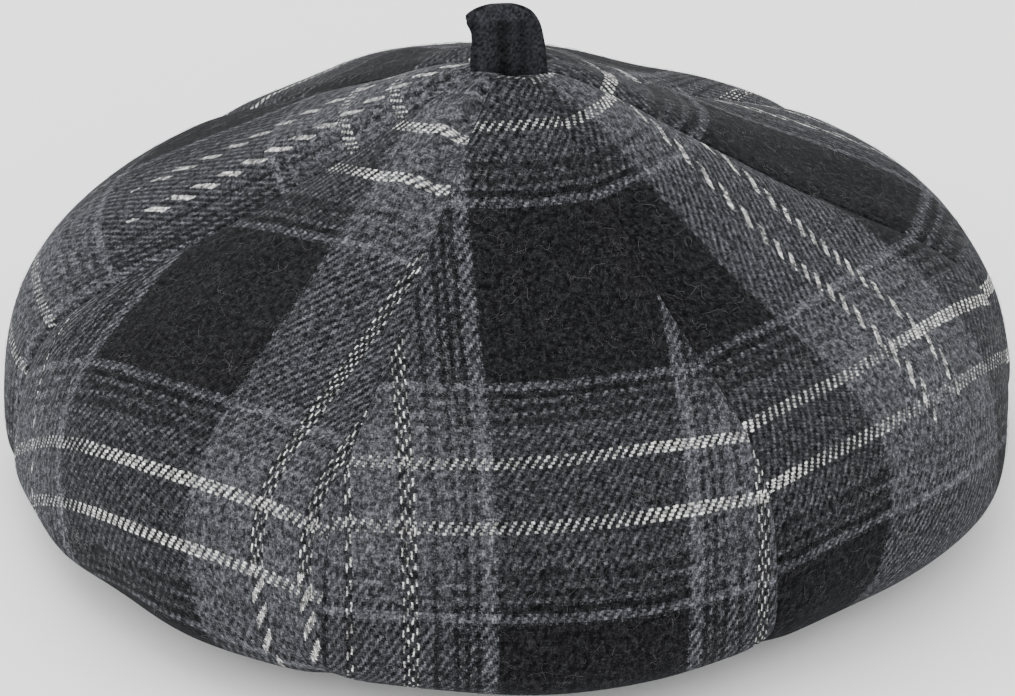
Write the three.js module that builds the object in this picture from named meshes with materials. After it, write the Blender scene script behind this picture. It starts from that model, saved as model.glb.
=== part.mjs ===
// A panelled beret of plaid wool twill, of the tam o' shanter kind, lying on its underside.
// Millimetres, +Z up. The front is towards -Y, and the origin is on the floor below the
// middle of the crown.
import * as THREE from "three";

// Crown
const crownWidth = 273; // mean width of the rim
const crownHeight = 119; // floor to the flat middle of the top
const clothThickness = 2;
const topSetForward = 4; // how far the stalk sits in front of the crown's middle
const tipRadius = 3; // the panel tips stop this far from the middle of the top
const panelPuff = 1; // how far a panel's middle swells out
const seamDepth = 1.5; // how far a seam sinks into the cloth
const seamReach = 5; // half width of the sunken cloth beside a seam
const seamStart = 30; // a seam has its full depth this far from the middle of the top
const rimDentDepth = 4.5; // deepest dent in the lower rim
const foldDepth = 2.4; // deepest fold on the top
const seamGap = 0.3; // between neighbouring panels
const pieceGap = 0.3; // between the band, the stalk and the crown

// Head band
const headRound = 570; // inside of the band, once around the head
const bandThickness = 2;
const bandHeight = 26;

// Stalk
const stalkWidth = 21;
const stalkHeight = 18;
const stalkDepth = 6; // front to back over both legs of the loop
const stalkThickness = 2;

// Fineness of the meshes
const panelRows = 30;
const panelColumns = [0, 0.05, 0.14, 0.32, 0.5, 0.68, 0.86, 0.95, 1]; // shares across a panel
const bandSegments = 72;
const stalkColumns = 7;
const stalkRows = 22;

// The crown's section from the tips to the widest rim: reach is the share of the way from
// the tips to the rim, height is a share of the crown's height.
const topSection = [
  { reach: 0.0, height: 1.0 },
  { reach: 0.085, height: 0.995 },
  { reach: 0.175, height: 0.954 },
  { reach: 0.31, height: 0.862 },
  { reach: 0.44, height: 0.781 },
  { reach: 0.568, height: 0.703 },
  { reach: 0.7, height: 0.634 },
  { reach: 0.822, height: 0.567 },
  { reach: 0.914, height: 0.492 },
  { reach: 0.974, height: 0.382 },
  { reach: 1.0, height: 0.245 },
];

// The same section under the rim: reach is the share of the way from the head opening out
// to the rim. The inner part lies flat on the floor.
const underSection = [
  { reach: 1.0, height: 0.141 },
  { reach: 0.87, height: 0.078 },
  { reach: 0.61, height: 0.025 },
  { reach: 0.4, height: 0.0 },
  { reach: 0.2, height: 0.0 },
  { reach: 0.0, height: 0.0 },
];

// How the soft crown strays from a round one. Azimuths are degrees from the front towards
// +X. Outward is a share of the half width at the rim, lift a share of the crown's height.
const bodyShape = [
  { azimuth: -180, outward: -0.007, lift: 0.041 },
  { azimuth: -150, outward: -0.064, lift: 0.033 },
  { azimuth: -120, outward: -0.018, lift: 0.016 },
  { azimuth: -95, outward: 0.018, lift: 0.008 },
  { azimuth: -72, outward: -0.018, lift: -0.025 },
  { azimuth: -48, outward: 0.018, lift: -0.016 },
  { azimuth: -24, outward: -0.036, lift: -0.016 },
  { azimuth: 0, outward: -0.039, lift: -0.012 },
  { azimuth: 24, outward: -0.05, lift: -0.016 },
  { azimuth: 48, outward: -0.004, lift: -0.012 },
  { azimuth: 72, outward: 0.004, lift: -0.008 },
  { azimuth: 95, outward: 0.014, lift: 0.0 },
  { azimuth: 120, outward: 0.014, lift: -0.012 },
  { azimuth: 150, outward: -0.007, lift: 0.012 },
];

// Dents and swells of the lower rim: depth is a share of the deepest dent, below nought
// where the cloth sinks in.
const rimDents = [
  { azimuth: -104, depth: -0.55 },
  { azimuth: -91, depth: -0.2 },
  { azimuth: -78, depth: 0.55 },
  { azimuth: -65, depth: 0.45 },
  { azimuth: -52, depth: -1.0 },
  { azimuth: -39, depth: -0.25 },
  { azimuth: -26, depth: 0.35 },
  { azimuth: 0, depth: 0.2 },
  { azimuth: 13, depth: 0.25 },
  { azimuth: 39, depth: -0.9 },
  { azimuth: 52, depth: -0.25 },
  { azimuth: 65, depth: 0.3 },
  { azimuth: 78, depth: -0.2 },
  { azimuth: 91, depth: 0.6 },
];
const dentSpread = 9; // degrees
const dentShare = 0.7; // where along a panel the dents lie
const dentLength = 0.105; // share of a panel's length

// Soft folds on the top, each a straight valley or ridge from one place to another. Share
// runs along a panel, width is in degrees, depth a share of the deepest fold.
const folds = [
  { azimuth: -33, share: 0.12, toAzimuth: -33, toShare: 0.4, width: 5, depth: -0.7 },
  { azimuth: -44, share: 0.1, toAzimuth: -45, toShare: 0.34, width: 7, depth: 0.6 },
  { azimuth: -88, share: 0.2, toAzimuth: -90, toShare: 0.5, width: 6, depth: -0.8 },
  { azimuth: -66, share: 0.26, toAzimuth: -66, toShare: 0.52, width: 8, depth: 0.5 },
  { azimuth: 12, share: 0.44, toAzimuth: 11, toShare: 0.6, width: 9, depth: 0.8 },
  { azimuth: 58, share: 0.4, toAzimuth: 54, toShare: 0.6, width: 8, depth: 0.6 },
  { azimuth: 95, share: 0.3, toAzimuth: 93, toShare: 0.46, width: 7, depth: -0.5 },
  { azimuth: 152, share: 0.25, toAzimuth: 156, toShare: 0.5, width: 9, depth: -0.7 },
  { azimuth: 200, share: 0.3, toAzimuth: 196, toShare: 0.55, width: 9, depth: 0.6 },
];
const foldEnd = 0.07; // share of a panel's length over which a fold dies out

// The seams in order round the crown, each with its azimuth at the tip, on the shoulder and
// at the rim, and the panel that lies between it and the next seam.
const seams = [
  { panel: "panel_front", tip: -31, shoulder: -25.8, rim: -25.4 },
  { panel: "panel_front_right", tip: 36, shoulder: 28.5, rim: 26.8 },
  { panel: "panel_right", tip: 92, shoulder: 86, rim: 84.2 },
  { panel: "panel_back_right", tip: 137, shoulder: 132, rim: 131 },
  { panel: "panel_back_left", tip: 181, shoulder: 178, rim: 178 },
  { panel: "panel_left", tip: 229, shoulder: 224.5, rim: 224.5 },
  { panel: "panel_front_left", tip: 284, shoulder: 278, rim: 278.4 },
];

// The stalk's outline from its foot to its folded top: height is a share of the stalk's
// height, left and right are shares of its width on either side of its middle.
const stalkOutline = [
  { height: 0.0, left: 0.47, right: 0.47 },
  { height: 0.35, left: 0.45, right: 0.45 },
  { height: 0.62, left: 0.43, right: 0.42 },
  { height: 0.8, left: 0.47, right: 0.37 },
  { height: 0.92, left: 0.5, right: 0.28 },
  { height: 1.0, left: 0.42, right: 0.14 },
];

// Colours of the wool
const charcoalCheck = new THREE.Color(0x4b4c52);
const darkWool = new THREE.Color(0x36363b);
const bandWool = new THREE.Color(0x2e2e32);
const woolRoughness = 0.95;

const fullTurn = 360;
const halfWidth = crownWidth / 2;
const headRadius = headRound / (2 * Math.PI);
// The panels' edges are straight between their columns, so the opening is cut wider by what
// the longest of these straight stretches would take from the gap.
const widestPanel = Math.max(
  ...seams.map(({ rim }, index) => (seams[index + 1]?.rim ?? seams[0].rim + fullTurn) - rim),
);
const widestColumn = Math.max(
  ...panelColumns.slice(1).map((share, index) => share - panelColumns[index]),
);
const straightStretch = THREE.MathUtils.degToRad(widestPanel * widestColumn);
const openingRadius = (headRadius + bandThickness + pieceGap) / Math.cos(straightStretch / 2);
const section = [
  ...topSection.map(({ reach, height }) => [
    tipRadius + reach * (halfWidth - tipRadius),
    height * crownHeight,
  ]),
  ...underSection.map(({ reach, height }) => [
    openingRadius + reach * (halfWidth - openingRadius),
    height * crownHeight,
  ]),
];
const sectionSteps = section.length - 1;
const rimShare = (topSection.length - 1) / sectionSteps;
const shoulderShare = rimShare / 2;
const flatShare = (topSection.length + underSection.length - 3) / sectionSteps;
const reliefEnds = topSection.length / sectionSteps;

function smooth(value) {
  const part = THREE.MathUtils.clamp(value, 0, 1);
  return part * part * (3 - 2 * part);
}

function bell(distance, width) {
  return Math.exp(-((distance / width) ** 2));
}

// The smallest turn from one azimuth to another, in degrees.
function turnBetween(from, to) {
  return THREE.MathUtils.euclideanModulo(to - from + fullTurn / 2, fullTurn) - fullTurn / 2;
}

// The smooth curve through the section's points, at a share of its length in rows.
function sectionPoint(share) {
  const place = THREE.MathUtils.clamp(share, 0, 1) * sectionSteps;
  const index = Math.min(Math.floor(place), sectionSteps - 1);
  const weight = place - index;
  const here = section[index];
  const next = section[index + 1];
  const before = section[index - 1] ?? here.map((value, axis) => 2 * value - next[axis]);
  const after = section[index + 2] ?? next.map((value, axis) => 2 * value - here[axis]);
  const blend = (axis) => {
    const slope = next[axis] - before[axis];
    const bend = 2 * before[axis] - 5 * here[axis] + 4 * next[axis] - after[axis];
    const twist = 3 * (here[axis] - next[axis]) + after[axis] - before[axis];
    return here[axis] + (slope * weight + bend * weight ** 2 + twist * weight ** 3) / 2;
  };
  return { radius: blend(0), height: Math.max(0, blend(1)) };
}

// The unit direction out of the cloth in the section's plane.
function sectionNormal(share) {
  const step = 0.002;
  const from = sectionPoint(share - step);
  const to = sectionPoint(share + step);
  const alongRadius = to.radius - from.radius;
  const alongHeight = to.height - from.height;
  const length = Math.hypot(alongRadius, alongHeight);
  return { radius: -alongHeight / length, height: alongRadius / length };
}

// A value from the body table, joined smoothly all the way round.
function bodyValue(azimuth, column) {
  const count = bodyShape.length;
  const row = (index) => {
    const turns = Math.floor(index / count);
    const entry = bodyShape[index - turns * count];
    return [entry.azimuth + turns * fullTurn, entry[column]];
  };
  const place = turnBetween(0, azimuth);
  let index = 0;
  while (row(index + 1)[0] <= place) {
    index += 1;
  }
  const [[x0, y0], [x1, y1], [x2, y2], [x3, y3]] = [-1, 0, 1, 2].map((step) => row(index + step));
  const span = x2 - x1;
  const weight = (place - x1) / span;
  const slopeIn = ((y2 - y0) / (x2 - x0)) * span;
  const slopeOut = ((y3 - y1) / (x3 - x1)) * span;
  const bend = 3 * (y2 - y1) - 2 * slopeIn - slopeOut;
  const twist = 2 * (y1 - y2) + slopeIn + slopeOut;
  return y1 + slopeIn * weight + bend * weight ** 2 + twist * weight ** 3;
}

function seamAzimuth(index, share) {
  const turns = Math.floor(index / seams.length);
  const { tip, shoulder, rim } = seams[index - turns * seams.length];
  const toShoulder = smooth(share / shoulderShare);
  const toRim = smooth((share - shoulderShare) / (rimShare - shoulderShare));
  return tip + (shoulder - tip) * toShoulder + (rim - shoulder) * toRim + turns * fullTurn;
}

// Swelling panels, sunken seams, dents and folds, measured out of the cloth.
function relief(panelIndex, azimuth, share, radius) {
  const left = seamAzimuth(panelIndex, share);
  const right = seamAzimuth(panelIndex + 1, share);
  const across = (azimuth - left) / (right - left);
  const fullness = radius / halfWidth;
  const nearest = Math.min(azimuth - left, right - azimuth);
  const fromSeam = THREE.MathUtils.degToRad(nearest) * radius;
  let out = panelPuff * fullness * Math.sin(Math.PI * THREE.MathUtils.clamp(across, 0, 1));
  out -= seamDepth * bell(fromSeam, seamReach) * smooth(radius / seamStart);
  for (const dent of rimDents) {
    const aside = bell(turnBetween(dent.azimuth, azimuth), dentSpread);
    out += rimDentDepth * dent.depth * aside * bell(share - dentShare, dentLength);
  }
  for (const fold of folds) {
    const along = (share - fold.share) / (fold.toShare - fold.share);
    const centre = fold.azimuth + (fold.toAzimuth - fold.azimuth) * THREE.MathUtils.clamp(along, 0, 1);
    const beyond = Math.max(fold.share - share, share - fold.toShare, 0);
    const aside = bell(turnBetween(centre, azimuth), fold.width);
    out += foldDepth * fold.depth * aside * bell(beyond, foldEnd);
  }
  return out * (1 - smooth((share - reliefEnds) / (flatShare - reliefEnds)));
}

// The crown's outer face at an azimuth and a share of the way from the tips, over the rim,
// to the head opening.
function crownPoint(panelIndex, azimuth, share) {
  const { radius, height } = sectionPoint(share);
  const normal = sectionNormal(share);
  const fullness = radius / halfWidth;
  const onTop = share <= rimShare;
  const spread = onTop ? fullness ** 2 : (radius - openingRadius) / (halfWidth - openingRadius);
  const outward = bodyValue(azimuth, "outward") * halfWidth * spread;
  const rise = onTop ? Math.sin((Math.PI * share) / rimShare) ** 2 : 0;
  const lift = bodyValue(azimuth, "lift") * crownHeight * rise;
  const forward = onTop ? topSetForward * (1 - fullness) ** 2 : 0;
  const out = relief(panelIndex, azimuth, share, radius);
  const reach = radius + outward + out * normal.radius;
  const angle = THREE.MathUtils.degToRad(azimuth);
  return new THREE.Vector3(
    reach * Math.sin(angle),
    -reach * Math.cos(angle) - forward,
    Math.max(0, height + lift + out * normal.height),
  );
}

// A closed sheet of cloth: pointAt(across, along) gives its outer face, and the inner face
// lies one thickness behind it.
function clothSolid(pointAt, acrossShares, alongShares, thickness) {
  const step = 0.004;
  const columns = acrossShares.length;
  const rows = alongShares.length;
  const outer = [];
  const inner = [];
  for (const along of alongShares) {
    for (const across of acrossShares) {
      const point = pointAt(across, along);
      const left = pointAt(Math.max(0, across - step), along);
      const right = pointAt(Math.min(1, across + step), along);
      const back = pointAt(across, Math.max(0, along - step));
      const ahead = pointAt(across, Math.min(1, along + step));
      const normal = right.sub(left).cross(back.sub(ahead)).normalize();
      outer.push(point.clone());
      inner.push(point.addScaledVector(normal, -thickness));
    }
  }
  const points = [...outer, ...inner];
  const behind = outer.length;
  const at = (column, row) => row * columns + column;
  const faces = [];
  const quad = (a, b, c, d) => faces.push(a, b, c, a, c, d);
  for (let row = 0; row < rows - 1; row += 1) {
    for (let column = 0; column < columns - 1; column += 1) {
      const corners = [at(column, row), at(column, row + 1), at(column + 1, row + 1), at(column + 1, row)];
      quad(...corners);
      quad(...corners.map((corner) => corner + behind).reverse());
    }
  }
  const rimLoop = [];
  for (let column = 0; column < columns - 1; column += 1) {
    rimLoop.push(at(column, 0));
  }
  for (let row = 0; row < rows - 1; row += 1) {
    rimLoop.push(at(columns - 1, row));
  }
  for (let column = columns - 1; column > 0; column -= 1) {
    rimLoop.push(at(column, rows - 1));
  }
  for (let row = rows - 1; row > 0; row -= 1) {
    rimLoop.push(at(0, row));
  }
  rimLoop.forEach((from, index) => {
    const to = rimLoop[(index + 1) % rimLoop.length];
    quad(from, to, to + behind, from + behind);
  });
  const geometry = new THREE.BufferGeometry();
  geometry.setAttribute(
    "position",
    new THREE.Float32BufferAttribute(points.flatMap((point) => point.toArray()), 3),
  );
  geometry.setIndex(faces);
  geometry.computeVertexNormals();
  return geometry;
}

function wool(color) {
  return new THREE.MeshStandardMaterial({ color, roughness: woolRoughness, metalness: 0 });
}

function evenShares(count) {
  return Array.from({ length: count + 1 }, (_, index) => index / count);
}

// One tapered panel, from its tip below the stalk over the rim to the head opening.
function crownPanel(index) {
  const pointAt = (across, along) => {
    const { radius } = sectionPoint(along);
    const inset = THREE.MathUtils.radToDeg(Math.asin(seamGap / 2 / radius));
    const left = seamAzimuth(index, along) + inset;
    const right = seamAzimuth(index + 1, along) - inset;
    return crownPoint(index, left + (right - left) * across, along);
  };
  const geometry = clothSolid(pointAt, panelColumns, evenShares(panelRows), clothThickness);
  const mesh = new THREE.Mesh(geometry, wool(charcoalCheck));
  mesh.name = seams[index].panel;
  return mesh;
}

// The narrow band that stands inside the head opening.
function headBand() {
  const outerRadius = headRadius + bandThickness;
  const profile = [
    new THREE.Vector2(headRadius, 0),
    new THREE.Vector2(outerRadius, 0),
    new THREE.Vector2(outerRadius, bandHeight),
    new THREE.Vector2(headRadius, bandHeight),
    new THREE.Vector2(headRadius, 0),
  ];
  const geometry = new THREE.LatheGeometry(profile, bandSegments);
  geometry.rotateX(Math.PI / 2);
  const mesh = new THREE.Mesh(geometry, wool(bandWool));
  mesh.name = "head_band";
  return mesh;
}

function stalkEdges(height) {
  const last = stalkOutline.length - 1;
  let index = 0;
  while (index < last - 1 && stalkOutline[index + 1].height < height) {
    index += 1;
  }
  const from = stalkOutline[index];
  const to = stalkOutline[index + 1];
  const weight = THREE.MathUtils.clamp((height - from.height) / (to.height - from.height), 0, 1);
  const edge = (side) => (from[side] + (to[side] - from[side]) * weight) * stalkWidth;
  return { left: edge("left"), right: edge("right") };
}

// The stalk: a strip that rises at the back, folds over and comes down at the front.
function stalk() {
  const bendRadius = stalkDepth / 2;
  const legHeight = stalkHeight - bendRadius;
  const stripLength = 2 * legHeight + Math.PI * bendRadius;
  const foot = crownHeight + pieceGap;
  const loopPoint = (along) => {
    const travelled = along * stripLength;
    if (travelled < legHeight) {
      return [bendRadius, travelled];
    }
    if (travelled > stripLength - legHeight) {
      return [-bendRadius, stripLength - travelled];
    }
    const angle = (travelled - legHeight) / bendRadius;
    return [bendRadius * Math.cos(angle), legHeight + bendRadius * Math.sin(angle)];
  };
  const pointAt = (across, along) => {
    const [depth, height] = loopPoint(along);
    const { left, right } = stalkEdges(height / stalkHeight);
    return new THREE.Vector3((left + right) * across - left, depth - topSetForward, foot + height);
  };
  const geometry = clothSolid(pointAt, evenShares(stalkColumns), evenShares(stalkRows), stalkThickness);
  const mesh = new THREE.Mesh(geometry, wool(darkWool));
  mesh.name = "stalk";
  return mesh;
}

// The whole beret, moved so that the middle of its outline stands on the origin.
const beret = new THREE.Group();
seams.forEach((_, index) => beret.add(crownPanel(index)));
beret.add(headBand());
beret.add(stalk());
const middle = new THREE.Box3().setFromObject(beret).getCenter(new THREE.Vector3());
for (const piece of beret.children) {
  piece.position.set(-middle.x, -middle.y, 0);
}

export default beret;
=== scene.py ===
import math

import bpy
import numpy as np
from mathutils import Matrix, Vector


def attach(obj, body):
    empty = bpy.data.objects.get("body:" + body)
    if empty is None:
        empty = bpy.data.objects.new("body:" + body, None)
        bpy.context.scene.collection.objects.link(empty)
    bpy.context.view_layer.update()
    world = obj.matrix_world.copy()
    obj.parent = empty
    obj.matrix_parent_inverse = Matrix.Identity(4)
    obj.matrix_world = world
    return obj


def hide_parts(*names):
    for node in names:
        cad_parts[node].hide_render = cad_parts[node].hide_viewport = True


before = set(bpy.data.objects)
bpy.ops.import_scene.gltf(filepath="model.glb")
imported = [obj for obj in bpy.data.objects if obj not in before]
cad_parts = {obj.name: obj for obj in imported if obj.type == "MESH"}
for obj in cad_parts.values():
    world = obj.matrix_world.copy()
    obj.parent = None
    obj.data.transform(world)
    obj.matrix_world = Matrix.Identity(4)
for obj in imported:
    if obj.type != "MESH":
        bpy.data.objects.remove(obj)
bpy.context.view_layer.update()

# Camera
# The beret is seen from a metre away, from above the front and a little from its right-hand
# side as worn, with a long lens that looks at the lower middle of the crown.
camera_distance = 0.975
camera_height_angle = math.radians(30.96)
camera_side_angle = math.radians(-5.0)
camera_target = Vector((-0.0014, -0.001, 0.033))
camera_back = Vector((
    math.sin(camera_side_angle) * math.cos(camera_height_angle),
    -math.cos(camera_side_angle) * math.cos(camera_height_angle),
    math.sin(camera_height_angle),
))
camera_data = bpy.data.cameras.new("camera")
camera_data.sensor_width = 36.0
camera_data.lens = 125.2
camera_data.clip_start = 0.05
camera_data.clip_end = 20.0
camera = bpy.data.objects.new("camera", camera_data)
camera.location = camera_target + camera_distance * camera_back
camera.rotation_mode = "QUATERNION"
camera.rotation_quaternion = (-camera_back).to_track_quat("-Z", "Y")
bpy.context.collection.objects.link(camera)
bpy.context.scene.camera = camera

# Floor
# A plain white studio table that runs on behind the beret without an edge. It is no part of
# the object.
floor_size = 12.0
floor_half = floor_size / 2
floor_mesh = bpy.data.meshes.new("floor")
floor_mesh.from_pydata(
    [(-floor_half, -floor_half, 0), (floor_half, -floor_half, 0),
     (floor_half, floor_half, 0), (-floor_half, floor_half, 0)],
    [],
    [(0, 1, 2, 3)],
)
floor = bpy.data.objects.new("floor", floor_mesh)
bpy.context.collection.objects.link(floor)
floor_material = bpy.data.materials.new("studio_white")
floor_material.use_nodes = True
floor_shader = floor_material.node_tree.nodes["Principled BSDF"]
floor_shader.inputs["Base Color"].default_value = (0.93, 0.93, 0.93, 1)
floor_shader.inputs["Roughness"].default_value = 0.9
floor_mesh.materials.append(floor_material)

# Light
# Soft, even studio light: a bright white room, one wide soft box above and behind the crown
# and weaker ones in front and on the left of the picture.
world = bpy.data.worlds.new("studio")
world.use_nodes = True
world.node_tree.nodes["Background"].inputs["Color"].default_value = (1.0, 1.0, 1.0, 1)
world.node_tree.nodes["Background"].inputs["Strength"].default_value = 1.8
bpy.context.scene.world = world
for name, place, size, power in (
    ("soft_box_above", (-0.25, 0.35, 1.4), 1.2, 13.0),
    ("soft_box_front", (0.1, -1.6, 0.3), 1.2, 8.0),
    ("soft_box_left", (-1.5, 0.1, 0.5), 1.0, 6.0),
):
    light_data = bpy.data.lights.new(name, "AREA")
    light_data.size = size
    light_data.energy = power
    light = bpy.data.objects.new(name, light_data)
    light.location = place
    light.rotation_mode = "QUATERNION"
    light.rotation_quaternion = (camera_target - Vector(place)).to_track_quat("-Z", "Y")
    bpy.context.collection.objects.link(light)

# Front panel
# One of seven tapered panels cut from brushed plaid wool twill. Their sides are sewn to one
# another with the edges turned in, which leaves a narrow groove, and the panels run from the
# stalk over the soft rim and under it to the head opening.
mm = 0.001
crown_half = 136.5
crown_height = 119.0
crown_centre = np.array((-1.43, -1.02, 0.0))
cloth_thickness = 2.0
set_forward = 4.0
tip_radius = 3.0
opening_radius = 93.09
panel_puff = 1.0
seam_depth = 1.1
seam_reach = 5.0
seam_start = 30.0
stitch_depth = 0.4
stitch_reach = 0.6
seam_gap = 0.08
rim_dent_depth = 4.5
fold_depth = 2.4
cloth_columns = 84
cloth_rows = 170
sample_steps = 1200
slope_step = 0.002
lowest_cloth = 0.02
sharp_edge = 50

# Points of the crown's section, as shares of its reach and of its height: over the top from
# the stalk to the rim, and under it from the rim to the head opening.
top_section = (
    (0.0, 1.0), (0.085, 0.995), (0.175, 0.954), (0.31, 0.862), (0.44, 0.781), (0.568, 0.703),
    (0.7, 0.634), (0.822, 0.567), (0.914, 0.492), (0.974, 0.382), (1.0, 0.245),
)
under_section = ((1.0, 0.141), (0.87, 0.078), (0.61, 0.025), (0.4, 0.0), (0.2, 0.0), (0.0, 0.0))
# An azimuth, and how far the crown departs there from a round one, outward and upward.
body_shape = np.array((
    (-180, -0.007, 0.041), (-150, -0.064, 0.033), (-120, -0.018, 0.016), (-95, 0.018, 0.008),
    (-72, -0.018, -0.025), (-48, 0.018, -0.016), (-24, -0.036, -0.016), (0, -0.039, -0.012),
    (24, -0.05, -0.016), (48, -0.004, -0.012), (72, 0.004, -0.008), (95, 0.014, 0.0),
    (120, 0.014, -0.012), (150, -0.007, 0.012),
))
# The azimuth and the depth of each soft dent and bulge of the rim.
rim_dents = (
    (-104, -0.55), (-91, -0.2), (-78, 0.55), (-65, 0.45), (-52, -1.0), (-39, -0.25), (-26, 0.35),
    (0, 0.2), (13, 0.25), (39, -0.9), (52, -0.25), (65, 0.3), (78, -0.2), (91, 0.6),
)
dent_spread = 9.0
dent_share = 0.7
dent_length = 0.105
# The azimuth and the share of the section at both ends of a soft fold, its width in degrees
# and its depth.
folds = (
    (-33, 0.12, -33, 0.4, 5, -0.7), (-44, 0.1, -45, 0.34, 7, 0.6), (-88, 0.2, -90, 0.5, 6, -0.8),
    (-66, 0.26, -66, 0.52, 8, 0.5), (12, 0.44, 11, 0.6, 9, 0.8), (58, 0.4, 54, 0.6, 8, 0.6),
    (95, 0.3, 93, 0.46, 7, -0.5), (152, 0.25, 156, 0.5, 9, -0.7), (200, 0.3, 196, 0.55, 9, 0.6),
)
fold_end = 0.07
tip_mound = 3.0
mound_radius = 8.0
mound_reach = 5.5
mound_azimuth = -35
pucker_depths = {6: 0.4, 0: 0.2}
pucker_pitch = 6.5
pucker_reach = 6.0
pucker_share = 0.42
pucker_length = 0.1
# The azimuth of each seam at its tip, on the shoulder and at the rim.
seams = (
    (-31, -25.8, -25.4), (36, 28.5, 26.8), (92, 86, 84.2), (137, 132, 131), (181, 178, 178),
    (229, 224.5, 224.5), (284, 278, 278.4),
)
section = np.array(
    [(tip_radius + reach * (crown_half - tip_radius), height * crown_height)
     for reach, height in top_section]
    + [(opening_radius + reach * (crown_half - opening_radius), height * crown_height)
       for reach, height in under_section]
)
section_steps = len(section) - 1
rim_share = (len(top_section) - 1) / section_steps
relief_ends = len(top_section) / section_steps
flat_share = (len(top_section) + len(under_section) - 3) / section_steps


def smooth(value):
    part = np.clip(value, 0, 1)
    return part * part * (3 - 2 * part)


def bell(distance, width):
    return np.exp(-((distance / width) ** 2))


def turn_between(start, end):
    return (end - start + 180) % 360 - 180


# A smooth curve through the section's points, from the stalk to the head opening.
def section_point(share):
    place = np.clip(share, 0, 1) * section_steps
    index = np.minimum(place.astype(int), section_steps - 1)
    weight = (place - index)[..., None]
    ends = np.vstack((2 * section[0] - section[1], section, 2 * section[-1] - section[-2]))
    before, here, after, beyond = (ends[index + step] for step in range(4))
    slope = after - before
    bend = 2 * before - 5 * here + 4 * after - beyond
    twist = 3 * (here - after) + beyond - before
    point = here + (slope * weight + bend * weight ** 2 + twist * weight ** 3) / 2
    return point[..., 0], np.maximum(point[..., 1], 0)


section_samples = np.linspace(0, 1, sample_steps + 1)
section_radii, section_heights = section_point(section_samples)
section_lengths = tip_radius + np.concatenate((
    [0], np.cumsum(np.hypot(np.diff(section_radii), np.diff(section_heights)))
))


# A smooth curve through body_shape that closes on itself.
def body_value(azimuth, column):
    wide = np.vstack((body_shape[-2:] - (360, 0, 0), body_shape, body_shape[:3] + (360, 0, 0)))
    degrees, values = wide[:, 0], wide[:, column]
    place = turn_between(0, azimuth)
    index = np.clip(np.searchsorted(degrees, place, side="right") - 1, 1, len(degrees) - 3)
    x0, x1, x2, x3 = (degrees[index + step] for step in (-1, 0, 1, 2))
    y0, y1, y2, y3 = (values[index + step] for step in (-1, 0, 1, 2))
    span = x2 - x1
    weight = (place - x1) / span
    slope_in = (y2 - y0) / (x2 - x0) * span
    slope_out = (y3 - y1) / (x3 - x1) * span
    bend = 3 * (y2 - y1) - 2 * slope_in - slope_out
    twist = 2 * (y1 - y2) + slope_in + slope_out
    return y1 + slope_in * weight + bend * weight ** 2 + twist * weight ** 3


def seam_azimuth(index, share):
    tip, shoulder, rim = seams[index % len(seams)]
    to_shoulder = smooth(share / (rim_share / 2))
    to_rim = smooth((share - rim_share / 2) / (rim_share / 2))
    turns = 360 * (index // len(seams))
    return tip + (shoulder - tip) * to_shoulder + (rim - shoulder) * to_rim + turns


# A place on the cloth. The section gives it, with the uneven outline and the cloth that rises
# round the stalk, and the puff, the seam grooves, dents, folds and puckers push it out or in.
def crown_point(panel, azimuth, share, off_cloth=0.0):
    radius, height = section_point(share)
    ahead = section_point(share + slope_step)
    behind = section_point(share - slope_step)
    along_radius, along_height = ahead[0] - behind[0], ahead[1] - behind[1]
    length = np.hypot(along_radius, along_height) + 1e-9
    fullness = radius / crown_half
    on_top = share <= rim_share
    under_spread = (radius - opening_radius) / (crown_half - opening_radius)
    spread = np.where(on_top, fullness ** 2, under_spread)
    outward = body_value(azimuth, 1) * crown_half * spread
    rise = np.where(on_top, np.sin(np.pi * share / rim_share) ** 2, 0)
    lift = body_value(azimuth, 2) * crown_height * rise
    faced = 0.5 + 0.5 * np.cos(np.radians(azimuth - mound_azimuth))
    lift = lift + tip_mound * faced * bell(radius - mound_radius, mound_reach) * on_top
    forward = np.where(on_top, set_forward * (1 - fullness) ** 2, 0)
    left, right = seam_azimuth(panel, share), seam_azimuth(panel + 1, share)
    across = np.clip((azimuth - left) / (right - left), 0, 1)
    from_seam = np.radians(np.minimum(azimuth - left, right - azimuth)) * radius
    out = panel_puff * fullness * np.sin(np.pi * across)
    out = out - seam_depth * bell(from_seam, seam_reach) * smooth(radius / seam_start)
    for dent_azimuth, depth in rim_dents:
        aside = bell(turn_between(dent_azimuth, azimuth), dent_spread)
        out = out + rim_dent_depth * depth * aside * bell(share - dent_share, dent_length)
    for azimuth_from, share_from, azimuth_to, share_to, width, depth in folds:
        along = np.clip((share - share_from) / (share_to - share_from), 0, 1)
        centre = azimuth_from + (azimuth_to - azimuth_from) * along
        past_end = np.maximum(np.maximum(share_from - share, share - share_to), 0)
        aside = bell(turn_between(centre, azimuth), width)
        out = out + fold_depth * depth * aside * bell(past_end, fold_end)
    if panel in pucker_depths:
        beside = np.radians(azimuth - left if panel == 0 else right - azimuth) * radius
        down = np.interp(share, section_samples, section_lengths)
        ripple = np.sin(2 * np.pi * down / pucker_pitch)
        close = bell(beside, pucker_reach) * bell(share - pucker_share, pucker_length)
        out = out + pucker_depths[panel] * ripple * close
    out = out * (1 - smooth((share - relief_ends) / (flat_share - relief_ends)))
    out = out - stitch_depth * bell(from_seam, stitch_reach) * smooth(radius / seam_start)
    out = out + off_cloth
    reach = radius + outward - out * along_height / length
    angle = np.radians(azimuth)
    point = np.stack((
        reach * np.sin(angle),
        -reach * np.cos(angle) - forward,
        np.maximum(height + lift + out * along_radius / length, lowest_cloth),
    ), axis=-1)
    return (point + crown_centre) * mm


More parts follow.
